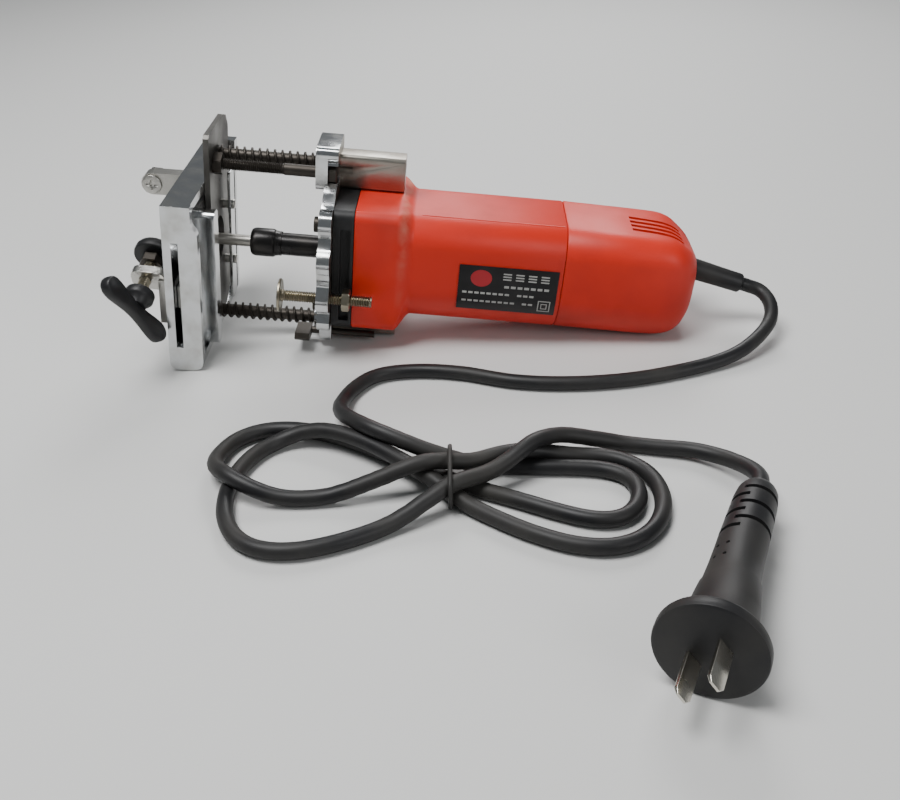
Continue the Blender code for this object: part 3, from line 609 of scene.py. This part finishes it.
def make_housing():
    """Square front that eases into the round barrel, open at both ends."""
    outer = [section(A_FRONT, *FRONT_EDGE), section(A_FRONT + 0.4, *FRONT_SECTION),
             section(A_STEP - 1.5, *FRONT_SECTION)]
    for k in range(13):
        t = k / 12
        ease = t * t * (3 - 2 * t)
        a = A_STEP - 1.0 + (A_BARREL - A_STEP + 2.0) * t
        outer.append(section(a, *mix(FRONT_SECTION, BARREL_SECTION, ease)))
    outer += [section(A_SEAM - 0.6, *BARREL_SECTION), section(A_SEAM, *SEAM_EDGE)]
    inner = [section(A_SEAM, *BARREL_INSIDE), section(A_BARREL - 1, *BARREL_INSIDE),
             section(A_STEP - 3, *FRONT_INSIDE), section(A_FRONT, *FRONT_INSIDE)]
    shape = skin(outer + inner, True)
    housing = piece("housing_shell", shape, "motor_red", "motor", ("motor_housing",), angle=40)
    mark_wear(housing)
    mould_line()


def mark_wear(ob):
    """Wear along the step's upper edges, as a share from 0 to 1 at each vertex."""
    wear = ob.data.attributes.new("wear", 'FLOAT', 'POINT')
    into_tool = TOOL.inverted()
    middle = (A_STEP + A_BARREL) / 2 - 1.0
    reach, lowest, fade = 2.2, 14.0, 14.0
    for vertex, value in zip(ob.data.vertices, wear.data):
        a, b, c = (into_tool @ vertex.co) / MM
        near_step = math.exp(-((a - middle) / reach) ** 2)
        value.value = near_step * min(1.0, max(0.0, (c - lowest) / fade))


def mould_line():
    """The fine raised line along the top of the barrel."""
    outline = [(57.0, -17.8), (129.0, -17.8), (129.0, -17.2), (57.0, -17.2)]
    loops = [[(a, b, c) for a, b in outline] for c in (29.4, 30.02)]
    piece("mould_line", skin(loops), "motor_red", "motor")


# Distance behind the seam, then a section.
COVER = ((0.3, *SEAM_EDGE), (0.9, *BARREL_SECTION),
         (35, 29.2, -28.8, 29.0, 22.0, 13.0), (50, 28.8, -28.1, 28.2, 20.0, 12.0),
         (57, 28.0, -27.3, 26.6, 19.0, 12.0), (62, 26.2, -25.8, 23.6, 18.0, 12.0),
         (66, 23.2, -22.8, 20.6, 16.5, 12.0), (68.8, 19.0, -18.4, 17.4, 14.0, 11.0),
         (70.2, 15.0, -14.2, 14.8, 11.5, 9.5), (70.5, 13.5, -12.6, 14.2, 11.0, 9.0))
COVER_INSIDE = ((67.5, 8.0, -7.0, 8.6, 7.0, 7.0), (63.5, 16.4, -15.6, 16.6, 13.0, 13.0),
                (56.5, 22.6, -22.6, 21.6, 16.0, 10.0), (46, 25.0, -25.3, 25.0, 18.0, 11.0),
                (0.3, *BARREL_INSIDE))
VENTS, VENT_PITCH, VENT_WIDE = 4, 5.2, 3.0
VENT_FROM, VENT_TO = (164, -12.0), (191, -14.0)   # a, b of the ends of the first slot


def eased(stations, steps=5):
    """Catmull-Rom between the stations, so that the cover's back rounds off smoothly."""
    out = []
    for i in range(len(stations) - 1):
        s0, s1 = stations[max(i - 1, 0)], stations[i]
        s2, s3 = stations[i + 1], stations[min(i + 2, len(stations) - 1)]
        for k in range(steps if i > 1 else 1):
            t = k / steps
            out.append([0.5 * (2 * q + (r - p) * t + (2 * p - 5 * q + 4 * r - w) * t * t
                               + (3 * q - p - 3 * r + w) * t * t * t) for p, q, r, w in zip(s0, s1, s2, s3)])
    return out + [list(stations[-1])]


def make_cover():
    """Boxy end cap with slanted slots on top and openings for the switch and the guard."""
    outside = [section(A_SEAM + s, *rest) for s, *rest in eased(COVER)]
    inside = [section(A_SEAM + s, *rest) for s, *rest in COVER_INSIDE]
    verts, faces = skin(outside + inside, True)
    n = len(outside[0])
    last = len(outside) - 1
    faces = [f for f in faces if not (min(f) // n == last and max(f) // n == last + 1)]
    faces += [tuple(last * n + k for k in range(n)), tuple((last + 1) * n + k for k in range(n))]
    cover = piece("cover_shell", (verts, faces), "motor_red", "motor", ("rear_cover",), angle=40)
    for k in range(VENTS):
        (a0, near), (a1, far) = [(a, b + VENT_PITCH * k) for a, b in (VENT_FROM, VENT_TO)]
        outline = [(a0, near), (a1, far), (a1, far + VENT_WIDE), (a0, near + VENT_WIDE)]
        carve(cover, skin([[(a, b, c) for a, b in outline] for c in (18, 36)]))
    carve(cover, turned([(190, 6.9), (204, 6.9)], (0.0, 6.6)))
    carve(cover, skin([[(a, b, c) for a, c in rounded(142, 164, -6, 6, 1.2, 4)] for b in (24, 33)]))


def make_vent_shade_sheet():
    """Black sheet inside the cover under its slots: painted shade that darkens what is seen through them."""
    outline = [(158, -21), (188, -18), (188, 14), (158, 16)]
    sheet = skin([[(a, b, c) for a, b in outline] for c in (19.6, 20.2)])
    # A dark sheet where there is only shade: painted shade for the inside of the vent slots, not a part of
    # the tool.
    piece("vent_shade_sheet", sheet, "plastic_black", "motor")


make_housing()
make_cover()
make_vent_shade_sheet()

# ---------------------------------------------------------------- rating label

LABEL_A = (77.6, 128.0)
LABEL_TOP = 10.5
LABEL_R = 24.0
LABEL_MID = (-5.5, -5.0)                      # centre of the curve below its flat part: b, c
INK_LOW, INK_HIGH = 0.56, 0.60
# A block of short bars: columns and rows, and along a and down: where it starts, its steps, a bar's size.
BLOCK, BLOCK_AT, BLOCK_STEP, BLOCK_BAR = (4, 3), (100, 3.0), (6.4, 1.5), (4.2, 0.7)
# Rows of plain bars: how many, where the first starts, step, length, top edge and lower edge.
BARS = ((7, 101, 3.4, 2.4, 9.8, 11.1), (8, 80, 3.1, 2.2, 14.2, 15.3), (3, 108, 3.1, 2.2, 14.2, 15.3),
        (9, 80, 3.1, 2.2, 18.8, 19.9), (2, 111, 3.1, 2.2, 18.8, 19.9))
# The double square's two outlines: from, to and line width, along a; and its top edge at the first.
SQUARES = ((119.0, 125.4, 0.5), (120.6, 123.8, 0.45))
SQUARE_TOP = 16.6


def label_point(a, down, proud):
    """A point on the label, so far down from its top edge and so far out from the barrel."""
    flat = LABEL_TOP - LABEL_MID[1]
    if down <= flat:
        return (a, LABEL_MID[0] - LABEL_R - proud, LABEL_TOP - down)
    turn = math.pi + (down - flat) / LABEL_R
    r = LABEL_R + proud
    return (a, LABEL_MID[0] + r * math.cos(turn), LABEL_MID[1] + r * math.sin(turn))


def label_patch(name, a0, a1, down0, down1, low, high, material, nodes=()):
    """A thin plate that follows the barrel."""
    rows = [down0 + (down1 - down0) * k / 12 for k in range(13)]
    loops = []
    for a in (a0, a1):
        face = [label_point(a, d, high) for d in rows]
        loops.append(face + [label_point(a, d, low) for d in reversed(rows)])
    piece(name, skin(loops), material, "motor", nodes)


def make_label():
    """Black plate with a plain disc, rows of bars and a double square, and no lettering."""
    label_patch("label_plate", *LABEL_A, 0.0, 25.1, 0.05, 0.55, "label", ("rating_label",))
    marks = []
    for column in range(BLOCK[0]):
        for row in range(BLOCK[1]):
            start, top = [at + step * k for at, step, k in zip(BLOCK_AT, BLOCK_STEP, (column, row))]
            marks.append((start, start + BLOCK_BAR[0], top, top + BLOCK_BAR[1]))
    marks += [(start + step * k, start + step * k + long, top, low)
              for count, start, step, long, top, low in BARS for k in range(count)]
    for k, mark in enumerate(marks):
        label_patch("label_mark_%d" % k, *mark, INK_LOW, INK_HIGH, INK)
    for k, (lo, hi, edge) in enumerate(SQUARES):
        top = SQUARE_TOP + lo - SQUARES[0][0]
        low = top + hi - lo
        for side, patch in enumerate(((lo, hi, top, top + edge), (lo, hi, low - edge, low),
                                      (lo, lo + edge, top, low), (hi - edge, hi, top, low))):
            label_patch("label_square_%d_%d" % (k, side), *patch, INK_LOW, INK_HIGH, INK)
    disc = [(89.0 + 5.4 * u, 6.6 + 4.6 * v) for u, v in circle(0, 0, 1, 40)]
    loops = [[label_point(a, d, proud) for a, d in disc] for proud in (INK_LOW, INK_HIGH)]
    piece("label_disc", skin(loops), RED_INK, "motor")


make_label()

# ---------------------------------------------------------------- threads, springs, nuts


def threaded(lo, hi, r, pitch, centre=(0, 0), n=28, place=None):
    """A rod with a helical thread. place maps (distance, u, v) to coordinates."""
    place = place or (lambda s, u, v: (s, u, v))
    steps = int((hi - lo) / pitch * 8)
    loops = []
    for i in range(steps + 1):
        s = lo + (hi - lo) * i / steps
        fade = min(1.0, (s - lo) / pitch, (hi - s) / pitch)
        loop = []
        for k in range(n):
            t = 2 * math.pi * k / n
            wave = abs(((s / pitch - k / n) % 1.0) - 0.5) * 2
            reach = r - THREAD_DEPTH * pitch * wave * fade - 0.3 * (1 - fade)
            loop.append(place(s, centre[0] + reach * math.cos(t), centre[1] + reach * math.sin(t)))
        loops.append(loop)
    return skin(loops)


POST_UP, POST_LOW = (6.0, 44.3), (-10.0, -36.2)
BOLT, STOP = (-6.0, 43.3), (-38.0, -10.7)
BOLT_SEAT = 8.6
THREAD_R, PITCH = 2.95, 1.0
STOP_PITCH = STUD_PITCH = 1.25
THREAD_DEPTH = 0.62                           # as a share of the pitch
HEX_FLAT = 5.0                                # from a nut's middle to its flats
HEX_R = HEX_FLAT / math.cos(math.pi / 6)


def nut(name, node, lo, hi, centre, turn, material, bore):
    """Hexagon nut with chamfered corners and a bore."""
    loops = []
    for s, share in ((lo, 0.90), (lo + 0.5, 1.0), (hi - 0.5, 1.0), (hi, 0.90)):
        outline = []
        for k in range(48):
            t = 2 * math.pi * k / 48
            flat = HEX_FLAT / math.cos((t - turn) % (math.pi / 3) - math.pi / 6)
            reach = min(flat, HEX_R * share * 1.02)
            outline.append((s, centre[0] + reach * math.cos(t), centre[1] + reach * math.sin(t)))
        loops.append(outline)
    for s in (hi, lo):
        loops.append([(s, u, v) for u, v in circle(centre[0], centre[1], bore, 48)])
    piece(name, skin(loops, True), material, BODIES[node], (node,), angle=25)


def coil(centre, lo, hi, turns, mean_r=3.75, wire_r=0.70, per_turn=28, sides=10):
    """A compression spring along a."""
    loops = []
    count = int(turns * per_turn)
    for i in range(count + 1):
        t = 2 * math.pi * i / per_turn
        s = lo + wire_r + (hi - lo - 2 * wire_r) * i / count
        out = Vector((0, math.cos(t), math.sin(t)))
        middle = Vector((s, centre[0], centre[1])) + out * mean_r
        loops.append([tuple(middle + out * u + Vector((v, 0, 0))) for u, v in circle(0, 0, wire_r, sides)])
    return skin(loops)


SPRING_FROM = -48.9
SPRING_TURNS = 13.0


def make_spring(node, centre, end):
    wound = coil(centre, SPRING_FROM, end, SPRING_TURNS)
    spring = piece("wound_" + node, wound, "dark_steel", "motor", (node,), angle=60)
    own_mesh(spring)


make_spring("return_spring_upper", POST_UP, 2.5)
make_spring("return_spring_lower", POST_LOW, 3.4)
depth_thread = threaded(-51.6, -14.0, THREAD_R, PITCH, BOLT)
piece("depth_thread", depth_thread, "dark_steel", "base", ("depth_bolt",), angle=18)
depth_shank = turned([(-14.1, 2.5), (-13.6, THREAD_R), (BOLT_SEAT + 0.1, THREAD_R)], BOLT)
piece("depth_shank", depth_shank, "dark_steel", "base")
nut("depth_nut", "depth_bolt_nut", -48.9, -44.4, BOLT, math.pi / 6, "dark_steel", 3.0)
nut("stop_nut", "stop_lock_nut", 20.0, 23.8, STOP, 0.0, ZINC, 3.06)


def make_stop_screw():
    """Screw with a flat head disc and a threaded shank."""
    profile = [(-12.0, 7.2), (-11.7, 8.3), (-10.8, 8.4), (-10.5, 8.0), (-10.45, 3.0), (-9.4, 3.0)]
    head = turned(profile, STOP, 56)
    piece("stop_screw_head", head, ZINC, "stop", ("stop_screw",), angle=30)
    piece("stop_screw_thread", threaded(-9.5, 34.9, 3.0, STOP_PITCH, STOP), ZINC, "stop", angle=18)


make_stop_screw()

# ---------------------------------------------------------------- spindle, collet, posts


def make_spindle():
    """Bit shank, hollow collet nut and stepped shaft."""
    bit = turned([(-60, 1.2), (-59.4, 2.98), (-19.8, 2.98)], (0, 0))
    piece("bit_shank", bit, "steel", "spindle", ("router_bit",))
    outside = [(-32.0, 3.5), (-32.0, 5.6), (-31.6, 6.4), (-30.9, 7.0), (-29.8, 7.35), (-28.6, 7.4)]
    outside += [(-20.6, 7.4), (-19.8, 7.2), (-19.2, 6.7), (-17.4, 6.4), (-16.0, 6.4)]
    bore = [(-16.0, 5.9), (-29.2, 5.9), (-29.4, 3.5)]
    nut_cap = turned(outside + bore, (0, 0), 56, True)
    piece("collet_cap", nut_cap, BLACK_OXIDE, "spindle", ("collet_nut",), angle=30)
    shaft = [(-18.6, 5.3), (-18.4, 5.5), (-15.6, 5.5), (-15.5, 5.9), (13.2, 5.9), (13.3, 5.0), (120.0, 5.0),
             (120.1, 4.0), (175.0, 4.0)]
    piece("spindle_turned", turned(shaft, (0, 0), 56), BLACK_OXIDE, "spindle", ("spindle_shaft",), angle=30)


make_spindle()
for post, centre in (("guide_post_upper", POST_UP), ("guide_post_lower", POST_LOW)):
    rod = turned([(-52.0, 2.7), (-51.7, 3.0), (16.6, 3.0), (17.0, 2.6)], centre)
    piece("ground_" + post, rod, "dark_steel", "base", (post,))

# ---------------------------------------------------------------- every other visible node

# Width of each node's soft edges, mm.
SOFT_EDGES = {
    "head_casting": 0.9, "base_casting": 0.8, "base_plate": 0.3, "front_flange": 0.6, "guide_arm": 0.6,
    "clamp_bracket": 0.6, "clamp_plate": 0.3, "clamp_pad": 0.5, "clamp_nut": 0.4, "depth_bolt_head": 0.4,
    "guard_strip": 0.3, "lock_lever": 0.4, "switch_slider": 0.5, "switch_plate": 0.3, "arm_screw": 0.3,
    "arm_nut": 0.4, "strip_screw_1": 0.2, "strip_screw_2": 0.2, "head_screw_1": 0.3, "head_screw_2": 0.3,
    "head_screw_3": 0.3, "head_screw_4": 0.3,
}
OWN_MATERIAL = {"clamp_bracket": SAND_CAST, "guide_arm": SAND_CAST, "arm_screw": SAND_CAST,
                "base_plate": PLATE_STEEL}


def clamp_frame():
    """The clamp screw's frame, with its axis along z."""
    joint = JOINTS["wing_turn"]
    axis = Vector(joint["axis"])
    return pose_of(joint["pos_m"], axis.orthogonal(), axis)


CLAMP_SWING = math.radians(3.0)
WING_TURN = math.radians(-63.0)
GRIP_AT, GRIP_HALF = 37.8, 22.2               # distance along the clamp screw, half length
GRIP_WAIST, GRIP_LOBE = 3.2, 8.4              # half height at the waist, and what the lobes add


def wing_frame():
    """The clamp screw's frame, with x along the wing."""
    joint = JOINTS["wing_turn"]
    axis = Vector(joint["axis"])
    flat = TOOL.to_3x3() @ Vector((math.cos(CLAMP_SWING), -math.sin(CLAMP_SWING), 0.0))
    return pose_of(joint["pos_m"], flat * math.cos(WING_TURN) + axis.cross(flat) * math.sin(WING_TURN), axis)


def make_wing():
    """Moulded knob: a turned hub that carries a grip with two full lobes and a narrow waist."""
    hub = [(26.6, 6.4), (26.9, 7.0), (27.4, 7.2), (30.6, 7.2), (31.4, 6.7), (32.2, 5.6), (35.6, 4.6)]
    loops = [[(u, v, s) for u, v in circle(0, 0, r, 40)] for s, r in hub]
    piece("wing_hub", skin(loops), "plastic_black", "wing", ("wing_knob",), wing_frame(), angle=40)
    grip = []
    for y, share in ((-2.7, 0.80), (-2.3, 0.93), (-1.4, 1.0), (1.4, 1.0), (2.3, 0.93), (2.7, 0.80)):
        loop = []
        for u, v in circle(0, 0, 1, 64):
            height = (GRIP_WAIST + GRIP_LOBE * u ** 2) * share
            loop.append((GRIP_HALF * u * (0.9 + 0.1 * share), y, GRIP_AT + v * height))
        grip.append(loop)
    piece("wing_grip", skin(grip), "plastic_black", "wing", (), wing_frame(), angle=50)


make_wing()
ARM_SCREW = (-80.5, 29.5)                     # a, c
ARM_SCREW_FACE = -7.4
CROSS_DEPTH = 0.7


def cross_recess(ob):
    """Two crossed slots in the screw's head."""
    a, c = ARM_SCREW
    for half_a, half_c in ((2.7, 0.5), (0.5, 2.7)):
        low, high = (a - half_a, c - half_c), (a + half_a, c + half_c)
        outline = [low, (high[0], low[1]), high, (low[0], high[1])]
        depths = (ARM_SCREW_FACE - 1, ARM_SCREW_FACE + CROSS_DEPTH)
        carve(ob, skin([[(p, b, q) for p, q in outline] for b in depths]))


SLEEVES_FROM = 13.0                           # distance along a


def dull_sleeve(ob):
    """The sleeves behind the casting's face are left rough and brownish."""
    ob.data.materials.append(SLEEVE_CAST)
    into_tool = TOOL.inverted()
    for face in ob.data.polygons:
        if (into_tool @ face.center).x > SLEEVES_FROM * MM:
            face.material_index = 1


for node, width in SOFT_EDGES.items():
    fine = refined(node, OWN_MATERIAL.get(node), width)
    if node == "arm_screw":
        cross_recess(fine)
    if node == "head_casting":
        dull_sleeve(fine)
stud = threaded(3.2, 26.4, THREAD_R, STUD_PITCH, place=lambda s, u, v: (u, v, s))
piece("clamp_thread", stud, ZINC, "wing", ("clamp_stud",), clamp_frame(), angle=50)

for node, ob in frame["nodes"].items():
    ob.data.materials.clear()
    ob.data.materials.append(MATERIALS[SLOTS[node]])

# ---------------------------------------------------------------- floor and light


def make_floor():
    mesh = bpy.data.meshes.new("floor")
    mesh.from_pydata([(-6, -6, 0), (6, -6, 0), (6, 6, 0), (-6, 6, 0)], [], [(0, 1, 2, 3)])
    floor = bpy.data.objects.new("floor", mesh)
    bpy.context.collection.objects.link(floor)
    mesh.materials.append(shader("pale_floor", (0.62, 0.62, 0.61), 0.0, 0.7)[0])


def soft_light(name, place, target, size, power):
    data = bpy.data.lights.new(name, 'AREA')
    data.size = size
    data.energy = power
    ob = bpy.data.objects.new(name, data)
    bpy.context.collection.objects.link(ob)
    ob.location = place
    ob.rotation_euler = (Vector(target) - Vector(place)).to_track_quat('-Z', 'Y').to_euler()


def make_world():
    world = bpy.data.worlds.new("world")
    world.use_nodes = True
    world.node_tree.nodes["Background"].inputs["Color"].default_value = (0.52, 0.55, 0.57, 1.0)
    world.node_tree.nodes["Background"].inputs["Strength"].default_value = 0.28
    bpy.context.scene.world = world


make_floor()
make_world()
soft_light("key", (-0.35, -0.2, 1.1), (0, -0.08, 0), 0.55, 16.0)
soft_light("fill", (0.9, -0.9, 0.6), (0, -0.1, 0), 0.6, 5.0)
soft_light("back", (0.15, 0.9, 0.75), (0, 0, 0), 0.5, 8.0)
